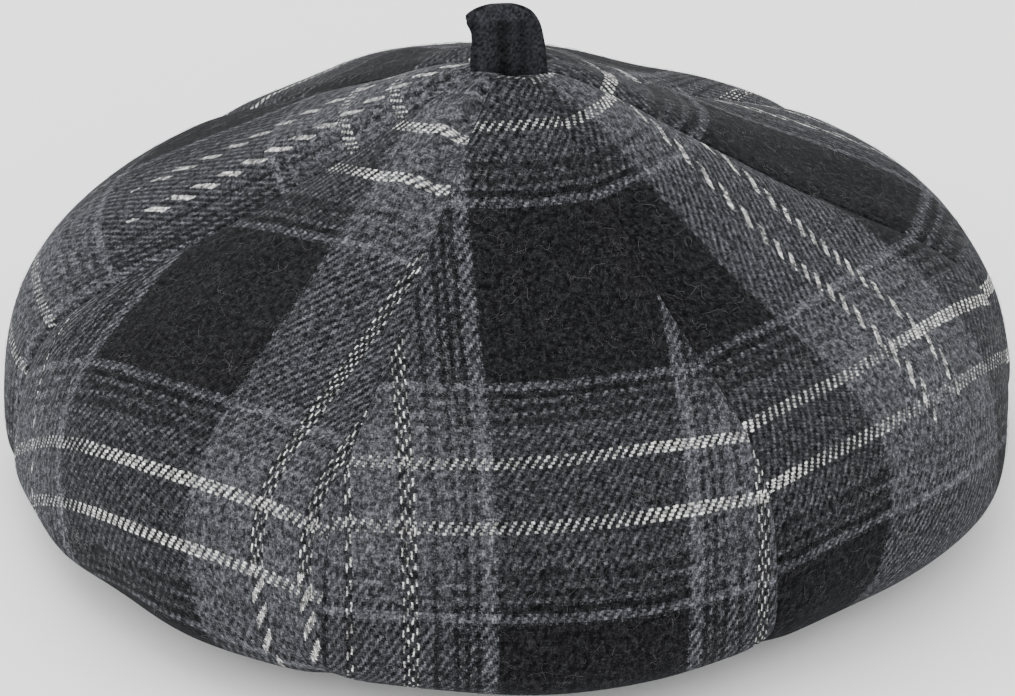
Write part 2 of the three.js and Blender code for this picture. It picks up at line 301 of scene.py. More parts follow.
# The outer face, an inner face one thickness behind it and the cut edges between them.
def cloth_mesh(name, outer, thickness, plaid_places):
    rows, columns = outer.shape[:2]
    across = np.gradient(outer, axis=1)
    along = np.gradient(outer, axis=0)
    normal = np.cross(along, across)
    normal /= np.linalg.norm(normal, axis=-1, keepdims=True) + 1e-12
    inner = outer - normal * thickness * mm
    points = np.concatenate((outer.reshape(-1, 3), inner.reshape(-1, 3)))
    index = np.arange(rows * columns).reshape(rows, columns)
    corners = (index[:-1, :-1], index[1:, :-1], index[1:, 1:], index[:-1, 1:])
    outer_faces = np.stack(corners, axis=-1).reshape(-1, 4)
    inner_faces = outer_faces[:, ::-1] + rows * columns
    loop = np.concatenate((index[0, :-1], index[:-1, -1], index[-1, :0:-1], index[:0:-1, 0]))
    ahead = np.roll(loop, -1)
    edge_faces = np.stack(
        (loop, ahead, ahead + rows * columns, loop + rows * columns), axis=-1
    )
    faces = np.concatenate((outer_faces, inner_faces, edge_faces))
    mesh = bpy.data.meshes.new(name)
    mesh.from_pydata(points.tolist(), [], faces.tolist())
    uv = np.concatenate((plaid_places.reshape(-1, 2), plaid_places.reshape(-1, 2)))
    layer = mesh.uv_layers.new(name="cloth")
    layer.data.foreach_set("uv", uv[faces.ravel()].ravel().astype(np.float32))
    mesh.shade_smooth()
    mesh.set_sharp_from_angle(angle=math.radians(sharp_edge))
    piece = bpy.data.objects.new(name, mesh)
    bpy.context.collection.objects.link(piece)
    return piece


# The plaid runs in millimetres from the middle of a black check. It is mirrored about the
# middle of each black and each grey check, and its colours are the same both ways.
end_pitch = 0.59
pick_pitch = 0.82
black_half = 25.6
plaid_half = 57.15
white_line_at = 49.0
white_warp_half = 2.3
white_weft_half = 1.7
black_yarn = (0.0105, 0.0105, 0.0118, 1)
charcoal_yarn = (0.024, 0.0245, 0.027, 1)
thin_line_yarn = (0.056, 0.057, 0.063, 1)
grey_yarn = (0.07, 0.0715, 0.0795, 1)
pale_grey_yarn = (0.094, 0.096, 0.107, 1)
weft_grey_yarn = (0.049, 0.05, 0.0555, 1)
weft_pale_yarn = (0.077, 0.079, 0.088, 1)
white_yarn = (0.55, 0.545, 0.53, 1)
warp_lines = (
    (0.0, black_yarn), (black_half, pale_grey_yarn), (29.9, black_yarn), (31.3, grey_yarn),
    (32.7, black_yarn), (34.2, grey_yarn), (35.6, black_yarn), (37.0, grey_yarn),
    (41.0, black_yarn), (42.2, grey_yarn),
)
plain_lines = ((0.0, black_yarn), (black_half, grey_yarn))
weft_lines = (
    (0.0, black_yarn), (black_half, weft_pale_yarn), (28.0, black_yarn), (30.2, thin_line_yarn),
    (31.8, charcoal_yarn), (34.0, thin_line_yarn), (35.6, charcoal_yarn), (38.6, thin_line_yarn),
    (40.2, weft_grey_yarn),
)
thread_waver = (1.3, -1.1)
hair_waver = (0.45, -0.5)
stripe_fray = (6.0, 4.6)
twill_repeat = 4.0


def math_node(tree, operation, *values):
    node = tree.nodes.new("ShaderNodeMath")
    node.operation = operation
    for socket, value in zip(node.inputs, values):
        if isinstance(value, (int, float)):
            socket.default_value = value
        else:
            tree.links.new(value, socket)
    return node.outputs[0]


def plus(tree, first, second):
    return math_node(tree, "ADD", first, second)


def minus(tree, first, second):
    return math_node(tree, "SUBTRACT", first, second)


def times(tree, first, second):
    return math_node(tree, "MULTIPLY", first, second)


def half_wave(tree, share):
    return math_node(tree, "SINE", times(tree, share, math.pi))


def named_value(tree, title):
    node = tree.nodes.new("ShaderNodeAttribute")
    node.attribute_name = title
    return node.outputs["Fac"]


def mix_colours(tree, blend, factor, first, second):
    node = tree.nodes.new("ShaderNodeMix")
    node.data_type = "RGBA"
    node.blend_type = blend
    sockets = (node.inputs[0], node.inputs[6], node.inputs[7])
    for socket, value in zip(sockets, (factor, first, second)):
        if hasattr(value, "is_linked"):
            tree.links.new(value, socket)
        else:
            socket.default_value = value
    return node.outputs[2]


def noise(tree, vector, scale, detail, roughness=0.5):
    node = tree.nodes.new("ShaderNodeTexNoise")
    node.inputs["Scale"].default_value = scale
    node.inputs["Detail"].default_value = detail
    node.inputs["Roughness"].default_value = roughness
    tree.links.new(vector, node.inputs["Vector"])
    return node.outputs["Fac"]


def line_colour(tree, place, lines):
    folded = math_node(tree, "PINGPONG", place, plaid_half)
    share = math_node(tree, "DIVIDE", folded, plaid_half)
    ramp = tree.nodes.new("ShaderNodeValToRGB")
    ramp.color_ramp.interpolation = "CONSTANT"
    for number, (start, colour) in enumerate(lines):
        if number < 2:
            stop = ramp.color_ramp.elements[number]
            stop.position = start / plaid_half
        else:
            stop = ramp.color_ramp.elements.new(start / plaid_half)
        stop.color = colour
    tree.links.new(share, ramp.inputs["Fac"])
    return ramp.outputs["Color"]


# A two-up, two-down twill: each end of the warp passes over two picks and under two, and its
# neighbour does so one pick further on. The threads waver, and the nap frays the stripes.
plaid_wool = bpy.data.materials.new("plaid_wool")
plaid_wool.use_nodes = True
tree = plaid_wool.node_tree
shader = tree.nodes["Principled BSDF"]
plaid_place = tree.nodes.new("ShaderNodeUVMap")
plaid_place.uv_map = "cloth"
cloth_place = plaid_place.outputs["UV"]
split = tree.nodes.new("ShaderNodeSeparateXYZ")
tree.links.new(cloth_place, split.inputs["Vector"])
waver = minus(tree, noise(tree, cloth_place, 0.35, 2.0), 0.5)
hair = minus(tree, noise(tree, cloth_place, 1.9, 3.0, 0.6), 0.5)
fray = minus(tree, noise(tree, cloth_place, 1.6, 4.0, 0.7), 0.5)
across_place = plus(tree, split.outputs["X"], times(tree, waver, thread_waver[0]))
across_place = plus(tree, across_place, times(tree, hair, hair_waver[0]))
along_place = plus(tree, split.outputs["Y"], times(tree, waver, thread_waver[1]))
along_place = plus(tree, along_place, times(tree, hair, hair_waver[1]))
end_count = math_node(tree, "DIVIDE", across_place, end_pitch)
pick_count = math_node(tree, "DIVIDE", along_place, pick_pitch)
end_number = math_node(tree, "FLOOR", end_count)
pick_number = math_node(tree, "FLOOR", pick_count)
end_share = minus(tree, end_count, end_number)
pick_share = minus(tree, pick_count, pick_number)
thread_sum = plus(tree, end_number, pick_number)
twill_step = math_node(tree, "FLOORED_MODULO", thread_sum, twill_repeat)
warp_on_top = math_node(tree, "LESS_THAN", twill_step, 1.5)
end_place = times(tree, plus(tree, end_number, 0.5), end_pitch)
pick_place = times(tree, plus(tree, pick_number, 0.5), pick_pitch)
frayed_end = plus(tree, end_place, times(tree, fray, stripe_fray[0]))
frayed_pick = minus(tree, pick_place, times(tree, fray, stripe_fray[1]))
lined_warp = line_colour(tree, frayed_end, warp_lines)
plain_warp = line_colour(tree, frayed_end, plain_lines)
weft_line = line_colour(tree, frayed_pick, weft_lines)
warp_line = mix_colours(tree, "MIX", named_value(tree, "plain_side"), lined_warp, plain_warp)
warp_folded = math_node(tree, "PINGPONG", end_place, plaid_half)
weft_folded = math_node(tree, "PINGPONG", pick_place, plaid_half)

# Every second end of a white warp line is white, and every end where its strokes are far
# apart. It shows in short strokes, each one pick further up than the one beside it. A white
# weft line is four white picks, whose floats are longer where the line is bold.
far_apart = 5.8
stroke_growth = 0.28
shortest_stroke = 0.8
wear_reach = 1.6
shortest_float = 0.8
float_growth = 0.57
float_edge = 4.0
white_warp_reach = times(tree, named_value(tree, "white_warp"), white_warp_half)
from_warp_white = math_node(tree, "ABSOLUTE", minus(tree, warp_folded, white_line_at))
in_warp_white = math_node(tree, "LESS_THAN", from_warp_white, white_warp_reach)
even_end = math_node(tree, "LESS_THAN", math_node(tree, "FLOORED_MODULO", end_number, 2.0), 0.5)
stroke_period = named_value(tree, "stroke_period")
stroke_place = plus(tree, along_place, times(tree, end_number, pick_pitch))
stroke_share = math_node(tree, "FRACT", math_node(tree, "DIVIDE", stroke_place, stroke_period))
stroke_length = plus(tree, times(tree, stroke_period, stroke_growth), shortest_stroke)
in_stroke = math_node(tree, "LESS_THAN", times(tree, stroke_share, stroke_period), stroke_length)
long_stroke = math_node(tree, "GREATER_THAN", stroke_period, far_apart)
white_end = math_node(tree, "MAXIMUM", even_end, long_stroke)
warp_white = times(tree, times(tree, in_warp_white, white_end), in_stroke)
from_weft_white = math_node(tree, "ABSOLUTE", minus(tree, weft_folded, white_line_at))
in_weft_white = math_node(tree, "LESS_THAN", from_weft_white, white_weft_half)
wear = minus(tree, noise(tree, cloth_place, 0.06, 1.0), 0.5)
whiteness = plus(tree, named_value(tree, "white_weft"), times(tree, wear, wear_reach))
boldness = math_node(tree, "MAXIMUM", whiteness, 0.0)
boldness.node.use_clamp = True
float_place = plus(tree, plus(tree, twill_step, end_share), 3.0)
float_step = math_node(tree, "FLOORED_MODULO", float_place, twill_repeat)
from_float_middle = math_node(tree, "ABSOLUTE", minus(tree, float_step, 2.0))
float_half = plus(tree, times(tree, boldness, float_growth), shortest_float)
float_white = times(tree, minus(tree, float_half, from_float_middle), float_edge)
float_white.node.use_clamp = True
weft_white = times(tree, in_weft_white, float_white)

# The brushed nap blurs the weave: short hairs carry each colour over its neighbours, each
# float of yarn has a tone of its own, and the cloth shows dark beside the white strokes.
float_spread = 0.9
darkest_float = 0.55
weave_contrast = 0.58
weave_least = 0.19
blur_reach = 2.0
dark_odd_end = 0.4
dark_even_end = 0.4
dark_less_where_long = 0.35
weft_names_from = 0.37
white_growth, white_least = 0.6, 0.5
stroke_spread, darkest_stroke = 0.7, 0.35
yarn_roundness = 0.7
nap = noise(tree, cloth_place, 2.2, 3.0, 0.75)
blur = noise(tree, cloth_place, 1.3, 4.0, 0.7)
fleck = noise(tree, cloth_place, 0.95, 4.0, 0.75)
patches = noise(tree, cloth_place, 0.09, 3.0)
clumps = noise(tree, cloth_place, 0.55, 2.0, 0.6)
weft_on_top = minus(tree, 1.0, warp_on_top)
warp_thread = times(tree, end_number, warp_on_top)
weft_thread = times(tree, plus(tree, pick_number, weft_names_from), weft_on_top)
float_name = tree.nodes.new("ShaderNodeCombineXYZ")
float_count = math_node(tree, "FLOOR", math_node(tree, "DIVIDE", thread_sum, twill_repeat))
tree.links.new(plus(tree, warp_thread, weft_thread), float_name.inputs["X"])
tree.links.new(float_count, float_name.inputs["Y"])
tree.links.new(warp_on_top, float_name.inputs["Z"])
float_chance = tree.nodes.new("ShaderNodeTexWhiteNoise")
tree.links.new(float_name.outputs["Vector"], float_chance.inputs["Vector"])
float_tone = plus(tree, times(tree, float_chance.outputs["Value"], float_spread), darkest_float)
weave_share = plus(tree, times(tree, warp_on_top, weave_contrast), weave_least)
blur_share = times(tree, minus(tree, blur, 0.5), blur_reach)
soft_share = plus(tree, weave_share, blur_share)
soft_share.node.use_clamp = True
napped = mix_colours(tree, "MIX", soft_share, weft_line, warp_line)
dark_gap = plus(tree, times(tree, even_end, dark_even_end), dark_odd_end)
dark_gap = minus(tree, dark_gap, times(tree, long_stroke, dark_less_where_long))
napped = mix_colours(tree, "MIX", times(tree, in_warp_white, dark_gap), napped, black_yarn)
white_strength = plus(tree, times(tree, whiteness, white_growth), white_least)
white_strength.node.use_clamp = True
end_round = half_wave(tree, end_share)
pick_round = half_wave(tree, pick_share)
white_tone = times(tree, float_chance.outputs["Value"], stroke_spread)
white_tone = plus(tree, white_tone, darkest_stroke)
warp_wear = times(tree, white_tone, warp_white)
warp_wear.node.use_clamp = True
end_crown = math_node(tree, "MAXIMUM", end_round, 0.0)
end_crown = math_node(tree, "POWER", end_crown, yarn_roundness)
pick_crown = math_node(tree, "MAXIMUM", pick_round, 0.0)
pick_crown = math_node(tree, "POWER", pick_crown, yarn_roundness)
warp_strength = times(tree, warp_wear, end_crown)
weft_strength = times(tree, times(tree, weft_white, white_strength), pick_crown)
white_share = math_node(tree, "MAXIMUM", warp_strength, weft_strength)
top_yarn = mix_colours(tree, "MIX", white_share, napped, white_yarn)

# Each float of yarn is rounded across and dips where it goes under the next one.
float_roundness = 0.6
warp_along = math_node(tree, "DIVIDE", plus(tree, twill_step, pick_share), 2.0)
weft_along = plus(tree, minus(tree, twill_step, 2.0), end_share)
weft_along = math_node(tree, "DIVIDE", weft_along, 2.0)
warp_height = times(tree, half_wave(tree, warp_along), end_round)
weft_height = times(tree, half_wave(tree, weft_along), pick_round)
height_mix = tree.nodes.new("ShaderNodeMix")
tree.links.new(warp_on_top, height_mix.inputs[0])
tree.links.new(weft_height, height_mix.inputs[2])
tree.links.new(warp_height, height_mix.inputs[3])
above_cloth = math_node(tree, "MAXIMUM", height_mix.outputs[0], 0.0)
yarn_height = math_node(tree, "POWER", above_cloth, float_roundness)

# The shade in the low places between the yarns, and the flecks, clumps and wider patches of
# the nap.
yarn_shade, gap_shade = 0.42, 0.62
fleck_contrast, fleck_start, darkest_fleck = 3.6, -0.8, 0.3
nap_contrast, nap_start = 3.2, -0.6
patch_contrast, patch_start = 0.5, 0.75
clump_contrast, clump_start, darkest_clump, palest_clump = 4.2, -1.1, 0.4, 1.35
yarn_bump, nap_bump = 0.6, 1.2
shade_low = plus(tree, times(tree, yarn_height, yarn_shade), gap_shade)
shade_fleck = plus(tree, times(tree, fleck, fleck_contrast), fleck_start)
shade_fleck = math_node(tree, "MAXIMUM", shade_fleck, darkest_fleck)
shade_nap = plus(tree, times(tree, nap, nap_contrast), nap_start)
shade_nap = times(tree, shade_nap, shade_fleck)
shade_patch = plus(tree, times(tree, patches, patch_contrast), patch_start)
shade_clump = plus(tree, times(tree, clumps, clump_contrast), clump_start)
shade_clump = math_node(tree, "MAXIMUM", shade_clump, darkest_clump)
shade_clump = math_node(tree, "MINIMUM", shade_clump, palest_clump)
shade_patch = times(tree, times(tree, shade_patch, shade_clump), float_tone)
shade = times(tree, times(tree, shade_low, shade_nap), shade_patch)
shaded = tree.nodes.new("ShaderNodeVectorMath")
shaded.operation = "SCALE"
tree.links.new(top_yarn, shaded.inputs[0])
tree.links.new(shade, shaded.inputs["Scale"])
tree.links.new(shaded.outputs[0], shader.inputs["Base Color"])
bump = tree.nodes.new("ShaderNodeBump")
bump.inputs["Strength"].default_value = 0.5
bump.inputs["Distance"].default_value = 0.00025
bump_height = plus(tree, times(tree, yarn_height, yarn_bump), times(tree, nap, nap_bump))
tree.links.new(bump_height, bump.inputs["Height"])
tree.links.new(bump.outputs["Normal"], shader.inputs["Normal"])
shader.inputs["Roughness"].default_value = 0.95
shader.inputs["Specular IOR Level"].default_value = 0.03
shader.inputs["Sheen Weight"].default_value = 0.03
shader.inputs["Sheen Roughness"].default_value = 0.5
shader.inputs["Sheen Tint"].default_value = (0.8, 0.82, 0.88, 1)

# Loose pale hairs of the brushed wool, curled on the surface.
hair_wool = bpy.data.materials.new("loose_hairs")
hair_wool.use_nodes = True
hair_tree = hair_wool.node_tree
hair_shader = hair_tree.nodes["Principled BSDF"]
hair_spot = hair_tree.nodes.new("ShaderNodeTexCoord")
hair_tone = noise(hair_tree, hair_spot.outputs["Object"], 90.0, 1.0)
hair_ramp = hair_tree.nodes.new("ShaderNodeValToRGB")
hair_ramp.color_ramp.elements[0].position = 0.35
hair_ramp.color_ramp.elements[0].color = (0.025, 0.025, 0.027, 1)
hair_ramp.color_ramp.elements[1].position = 0.65
hair_ramp.color_ramp.elements[1].color = (0.18, 0.178, 0.17, 1)
hair_tree.links.new(hair_tone, hair_ramp.inputs["Fac"])
hair_tree.links.new(hair_ramp.outputs["Color"], hair_shader.inputs["Base Color"])
hair_shader.inputs["Roughness"].default_value = 0.7
hair_count = 520
hair_points = 18
hair_thickness = 0.038
hair_sides = 3
hair_lengths = (4.0, 13.0)
hair_clear = 0.12
hair_loft = 0.3
hair_arches = 1.5
hair_narrowing = 0.6
hair_least_radius = 6.0
hair_guide = np.array((0.31, 0.22, 0.92))
hair_spread, hair_margins, hair_cuts = (0.01, 1), (0.03, 0.97), (0.4, 1.0)
wide_bends, wide_wave_counts = (0.4, 2.4), (0.3, 1.1)
tight_bends, tight_wave_counts = (0.0, 0.5), (1.2, 2.6)
wave_starts = (0, 6.28)


def loose_hairs(name, panel, seed):
    rng = np.random.default_rng(seed)
    relief_length = section_lengths[int(relief_ends * sample_steps)]
    down_mm = np.sqrt(rng.uniform(*hair_spread, hair_count)) * relief_length
    share = np.interp(down_mm, section_lengths, section_samples)
    radius = section_point(share)[0]
    left, right = seam_azimuth(panel, share), seam_azimuth(panel + 1, share)
    azimuth = left + (right - left) * rng.uniform(*hair_margins, hair_count)
    length = rng.uniform(*hair_lengths, hair_count) * rng.uniform(*hair_cuts, hair_count)
    heading = rng.uniform(0, 2 * np.pi, hair_count)
    waves = np.linspace(0, 2 * np.pi, hair_points)[None, :]
    wide_bend = rng.uniform(*wide_bends, (hair_count, 1))
    tight_bend = rng.uniform(*tight_bends, (hair_count, 1))
    wide_waves = rng.uniform(*wide_wave_counts, (hair_count, 1))
    tight_waves = rng.uniform(*tight_wave_counts, (hair_count, 1))
    wide_start = rng.uniform(*wave_starts, (hair_count, 1))
    tight_start = rng.uniform(*wave_starts, (hair_count, 1))
    lift_phase = rng.uniform(0, np.pi, hair_count)
    angle = heading[:, None] + wide_bend * np.sin(waves * wide_waves + wide_start)
    angle = angle + tight_bend * np.sin(waves * tight_waves + tight_start)
    reach = (length / (hair_points - 1))[:, None]
    across_mm = np.cumsum(np.cos(angle) * reach, axis=1)
    along_mm = np.cumsum(np.sin(angle) * reach, axis=1)
    turn_radius = np.maximum(radius, hair_least_radius)[:, None]
    azimuths = azimuth[:, None] + np.degrees(across_mm / turn_radius)
    arc = np.interp(share, section_samples, section_lengths)[:, None] + along_mm
    shares = np.interp(arc, section_lengths, section_samples)
    azimuths = np.clip(azimuths, seam_azimuth(panel, shares), seam_azimuth(panel + 1, shares))
    place = np.linspace(0, np.pi, hair_points)
    arch = np.abs(np.sin(place[None, :] * hair_arches + lift_phase[:, None]))
    lift = hair_clear + hair_loft * arch
    line = crown_point(panel, azimuths, shares, lift)
    forward = np.gradient(line, axis=1)
    forward /= np.linalg.norm(forward, axis=-1, keepdims=True) + 1e-12
    side = np.cross(forward, hair_guide)
    side /= np.linalg.norm(side, axis=-1, keepdims=True) + 1e-12
    up = np.cross(side, forward)
    toward_end = np.abs(np.linspace(-1, 1, hair_points)) ** 3
    taper = hair_thickness / 2 * mm * (1 - hair_narrowing * toward_end)
    turns = np.arange(hair_sides) * 2 * np.pi / hair_sides
    ring = side[:, :, None, :] * np.cos(turns)[:, None] + up[:, :, None, :] * np.sin(turns)[:, None]
    points = (line[:, :, None, :] + ring * taper[None, :, None, None]).reshape(-1, 3)
    index = np.arange(len(points)).reshape(hair_count, hair_points, hair_sides)
    here, beside = index, np.roll(index, -1, axis=2)
    faces = np.stack(
        (here[:, :-1], beside[:, :-1], beside[:, 1:], here[:, 1:]), axis=-1
    ).reshape(-1, 4)
    caps = np.concatenate((index[:, 0, ::-1], index[:, -1]))
    mesh = bpy.data.meshes.new(name)
    mesh.from_pydata(points.tolist(), [], faces.tolist() + caps.tolist())
    mesh.materials.append(hair_wool)
    mesh.shade_smooth()
    piece = bpy.data.objects.new(name, mesh)
    bpy.context.collection.objects.link(piece)
    return piece


# How the plaid lies on a panel: black is the place of a black check's middle, across from the
# panel's middle line and down from its tip. Lean, stretch and curve are those of the warp and
# of the weft. The white weft lines are bold between bold_from and bold_to and up to
# bold_until, and the lower one is faded from faded_from, all across from the middle line.
# The white warp lines show between white_warp_from and white_warp_end, down from the tip.
plaid_reach = 50
panel_seeds = 40
crowded_share, even_share = 0.8, 0.2
thin_white, bold_white, faded_white = 0.05, 0.8, 0.9
bold_blend, bold_end_blend, faded_blend = 12, 8, 10
warp_start_blend, warp_end_blend = 6, 14
plain_blend = 6
rim_strokes_from, rim_strokes_over = 70, 45
long_stroke_period = 6.8
narrow_stroke_period = 5.6
narrow_share = 0.5


def crown_panel(
    name, panel, black, lean, stretch, curve=(0.0, 0.0), strokes=(3.28, 3.28), plain_right=0.0,
    bold_from=-200.0, bold_to=400.0, white_warp_end=400.0, white_left=1.0, narrow_from=-200.0,
    bold_until=-200.0, faded_from=200.0, white_warp_from=0.0, long_strokes_from=400.0,
):
    edge_share = (1 - np.cos(np.linspace(0, np.pi, cloth_columns + 1))) / 2
    across = crowded_share * edge_share + even_share * np.linspace(0, 1, cloth_columns + 1)
    lengths = np.linspace(section_lengths[0], section_lengths[-1], cloth_rows + 1)
    share = np.interp(lengths, section_lengths, section_samples)[:, None]
    across = across[None, :]
    radius = section_point(share)[0]
    inset = np.degrees(np.arcsin(seam_gap / 2 / radius))
    left, right = seam_azimuth(panel, share) + inset, seam_azimuth(panel + 1, share) - inset
    azimuth = left + (right - left) * across
    outer = crown_point(panel, azimuth, share + 0 * across)
    across_mm = np.radians(azimuth - (left + right) / 2) * radius
    from_black_across = across_mm - black[0]
    from_black_down = lengths[:, None] - black[1] + 0 * across
    plaid_across = (from_black_across - lean[0] * from_black_down) * stretch[0]
    plaid_across = plaid_across + curve[0] * (np.maximum(across_mm, 0) / plaid_reach) ** 2
    plaid_down = (from_black_down - lean[1] * from_black_across) * stretch[1]
    plaid_down = plaid_down + curve[1] * (across_mm / plaid_reach) ** 2
    places = np.stack((plaid_across, plaid_down), axis=-1)
    piece = cloth_mesh(name + "_cloth", outer, cloth_thickness, places)
    tip_stroke, rim_stroke = strokes
    toward_rim = smooth((lengths - rim_strokes_from) / rim_strokes_over)[:, None] + 0 * across
    periods = tip_stroke + (rim_stroke - tip_stroke) * toward_rim
    periods = np.where(plaid_across < narrow_from, narrow_stroke_period, periods)
    periods = np.where(lengths[:, None] > long_strokes_from, long_stroke_period, periods).ravel()
    plain = (plain_right * smooth((plaid_across + plain_blend) / (2 * plain_blend))).ravel()
    bold = smooth((across_mm - bold_from) / bold_blend)
    bold = bold * smooth((bold_to - across_mm) / bold_blend)
    bold = np.maximum(bold, smooth((bold_until - across_mm) / bold_end_blend))
    faded = smooth((across_mm - faded_from) / faded_blend) * (plaid_down > plaid_half)
    whites = (thin_white + bold_white * bold - faded_white * faded).ravel()
    shown = 1 - smooth((lengths - white_warp_end) / warp_end_blend)[:, None] + 0 * across
    shown = shown * smooth((lengths - white_warp_from) / warp_start_blend)[:, None]
    shown = shown * np.where(plaid_across < 0, white_left, 1.0)
    shown = (shown * np.where(plaid_across < narrow_from, narrow_share, 1.0)).ravel()
    for title, values in (
        ("stroke_period", periods), ("plain_side", plain),
        ("white_weft", whites), ("white_warp", shown),
    ):
        layer = piece.data.attributes.new(title, "FLOAT", "POINT")
        layer.data.foreach_set("value", np.concatenate((values, values)).astype(np.float32))
    piece.data.materials.append(plaid_wool)
    hairs = loose_hairs(name + "_hairs", panel, panel_seeds + panel)
    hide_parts(name)
    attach(piece, "root")
    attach(hairs, "root")


crown_panel(
    "panel_front", 0, (9.0, 75.0), (0.0, 0.0), (1.03, 0.95), curve=(0.0, -2.0), strokes=(4.1, 4.1),
    bold_from=14.0, narrow_from=-57.0,
)

# Front right panel
# The same wool, cut so that its black check lies beside the front panel's and its stripes
# lean back towards the front.
crown_panel(
    "panel_front_right", 1, (-35.6, 70.3), (-0.195, 0.176), (1.17, 0.98), curve=(-12.0, -7.6),
    strokes=(8.0, 6.5), plain_right=1.0, bold_from=-4.0, white_warp_end=138.0,
    bold_until=-48.0, faded_from=-12.0,
)

# Right panel
# The same wool, with its black check along the seam it shares with the front right panel.
crown_panel(
    "panel_right", 2, (-21.0, 93.0), (-0.45, 0.45), (1.0, 0.7), strokes=(6.0, 6.0),
)

# Back right panel
# The same wool, cut with a grey check near the top.
crown_panel("panel_back_right", 3, (12.0, 108.0), (0.05, -0.05), (1.0, 1.0))

# Back left panel
# The same wool, cut with the plaid straight along the panel.
crown_panel("panel_back_left", 4, (22.0, 62.0), (0.0, 0.0), (1.0, 1.0))

# Left panel
# The same wool, whose warp carries two white lines along the middle of the panel.
crown_panel(
    "panel_left", 5, (66.0, 91.0), (0.3, -0.1), (1.04, 1.0), strokes=(7.6, 7.6),
    bold_from=200.0, white_warp_end=102.0,
)

# Front left panel
# The same wool, with a large black check in its middle and puckers where it is eased into
# the seam of the front panel.
crown_panel(
    "panel_front_left", 6, (-13.7, 100.0), (0.305, -0.25), (0.93, 0.975), curve=(8.8, -11.1),
    strokes=(5.6, 3.9), plain_right=1.0, bold_from=-16.0, bold_to=56.0, white_left=0.15,
    white_warp_from=60.0, long_strokes_from=161.0,
)

# Head band
# A narrow band of plain black woven cloth, sewn as a ring to the edge of the head opening and
# standing up inside it.
head_round = 570.0
head_radius = head_round / (2 * math.pi)
band_thickness = 2.0
band_height = 26.0
band_columns = 144
band_rows = 14
band_edge = 0.8
band_wool = bpy.data.materials.new("band_wool")
band_wool.use_nodes = True
band_tree = band_wool.node_tree
band_shader = band_tree.nodes["Principled BSDF"]
band_spot = band_tree.nodes.new("ShaderNodeTexCoord")
band_weave = noise(band_tree, band_spot.outputs["Object"], 1900.0, 2.0)
band_ramp = band_tree.nodes.new("ShaderNodeValToRGB")
band_ramp.color_ramp.elements[0].color = (0.008, 0.008, 0.009, 1)
band_ramp.color_ramp.elements[1].color = (0.028, 0.028, 0.031, 1)
band_tree.links.new(band_weave, band_ramp.inputs["Fac"])
band_tree.links.new(band_ramp.outputs["Color"], band_shader.inputs["Base Color"])
band_bump = band_tree.nodes.new("ShaderNodeBump")
band_bump.inputs["Strength"].default_value = 0.4
band_bump.inputs["Distance"].default_value = 0.0002
band_tree.links.new(band_weave, band_bump.inputs["Height"])
band_tree.links.new(band_bump.outputs["Normal"], band_shader.inputs["Normal"])
band_shader.inputs["Roughness"].default_value = 0.9
profile_angles = np.linspace(0, np.pi, 9)
band_middle = head_radius + band_thickness / 2
band_levels = np.linspace(band_edge, band_height - band_edge, band_rows)
band_profile = [(head_radius + band_thickness, level) for level in band_levels]
band_profile += [
    (band_middle + band_thickness / 2 * math.cos(angle),
     band_height - band_edge * (1 - math.sin(angle)))
    for angle in profile_angles[1:-1]
]
band_profile += [(head_radius, level) for level in band_levels[::-1]]
band_profile += [
    (band_middle - band_thickness / 2 * math.cos(angle), band_edge * (1 - math.sin(angle)))
    for angle in profile_angles[1:-1]
]
band_profile = np.array(band_profile)
band_turns = np.arange(band_columns) * 2 * np.pi / band_columns
band_points = np.stack((
    band_profile[:, 0, None] * np.sin(band_turns),
    -band_profile[:, 0, None] * np.cos(band_turns),
    band_profile[:, 1, None] + 0 * band_turns,
), axis=-1)
band_points = ((band_points + crown_centre) * mm).reshape(-1, 3)
band_index = np.arange(len(band_points)).reshape(len(band_profile), band_columns)
band_right = np.roll(band_index, -1, axis=1)
band_up = np.roll(band_index, -1, axis=0)
band_across = np.roll(band_up, -1, axis=1)
band_faces = np.stack((band_index, band_right, band_across, band_up), axis=-1).reshape(-1, 4)
band_mesh = bpy.data.meshes.new("head_band_cloth")
band_mesh.from_pydata(band_points.tolist(), [], band_faces.tolist())
band_mesh.materials.append(band_wool)
band_mesh.shade_smooth()
head_band = bpy.data.objects.new("head_band_cloth", band_mesh)
bpy.context.collection.objects.link(head_band)
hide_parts("head_band")
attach(head_band, "root")

# Stalk
# A short strip of dark charcoal wool twill, folded over into a standing loop whose sides
# close. Both its ends are caught in the seams where the panels' tips meet.
stalk_width = 21.0
stalk_height = 20.0
stalk_depth = 6.0
stalk_thickness = 1.4
stalk_columns = 60
stalk_rows = 120
stalk_outline = np.array((
    (0.0, 0.49, 0.49), (0.25, 0.475, 0.475), (0.45, 0.455, 0.455), (0.62, 0.465, 0.425),
    (0.7, 0.49, 0.4), (0.78, 0.53, 0.36), (0.83, 0.53, 0.325), (0.87, 0.49, 0.29),
    (0.91, 0.435, 0.235), (0.94, 0.385, 0.185), (0.97, 0.31, 0.12), (1.0, 0.23, 0.05),
))
stalk_bend = stalk_depth / 2
stalk_set_forward = 3.2
stalk_foot_sunk = 0.7
stalk_sides_closed = 0.5
stalk_creases = ((-2.4, 1.3, 1.7), (-5.6, 2.0, -0.6), (2.6, 1.2, 0.9))
# Painted shade: the colour of the front leg is darker in two bands where its creases fall, and
# towards both of its sides.
stalk_painted_fold_shade = ((-1.2, 2.1, 0.45), (4.0, 1.5, 0.4))
ridge_place, ridge_width, ridge_rise, ridge_painted_highlight = 0.605, 0.8, 0.6, 0.6
ridge_middle, ridge_half = -1.5, 6.0
front_from, front_fade = 0.55, 4
stalk_stretch = 1 + 1 / stalk_height
